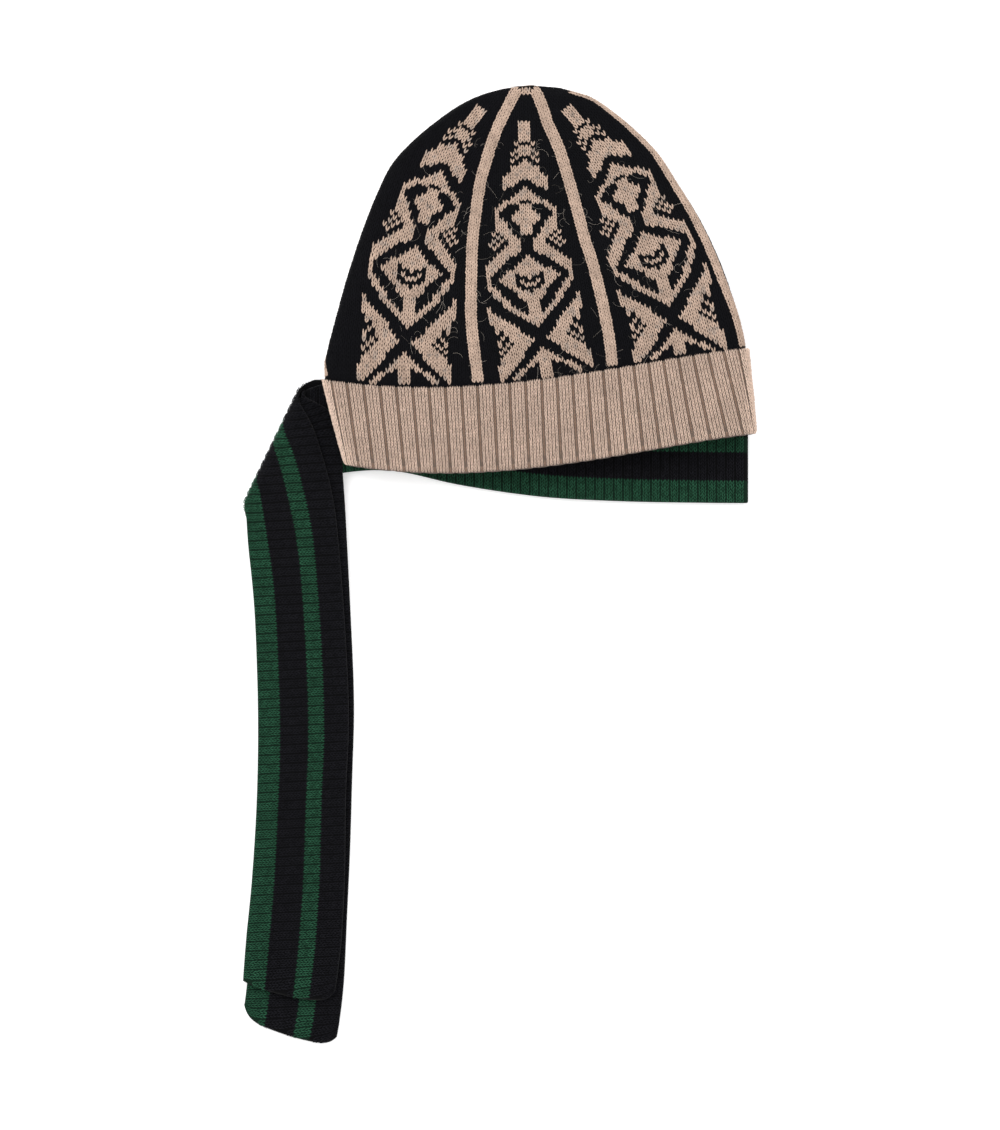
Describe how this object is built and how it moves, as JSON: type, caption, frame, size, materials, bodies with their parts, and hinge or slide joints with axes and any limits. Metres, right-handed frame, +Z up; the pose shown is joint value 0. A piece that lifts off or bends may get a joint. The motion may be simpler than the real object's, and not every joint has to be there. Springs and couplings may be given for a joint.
{
  "type": "knitted beanie with a striped tie strip",
  "caption": "Patterned knitted beanie with a turned-up ribbed cuff, lying flat on a long striped strip whose ends hang over a slanting fold.",
  "frame": {"origin": "middle of the whole outline, on the floor that the hat lies on", "axes": "+Z up from the floor, +Y from the cuff towards the crown's top, +X towards the nape fold"},
  "size_m": [0.272, 0.51, 0.0282],
  "materials": {
    "crown_knit": "matt wool knit",
    "cuff_knit": "matt wool rib",
    "strip_knit": "matt wool rib"
  },
  "bodies": {
    "root": {"crown": "crown_knit", "cuff": "cuff_knit", "striped_strip": "strip_knit"}
  },
  "joints": []
}
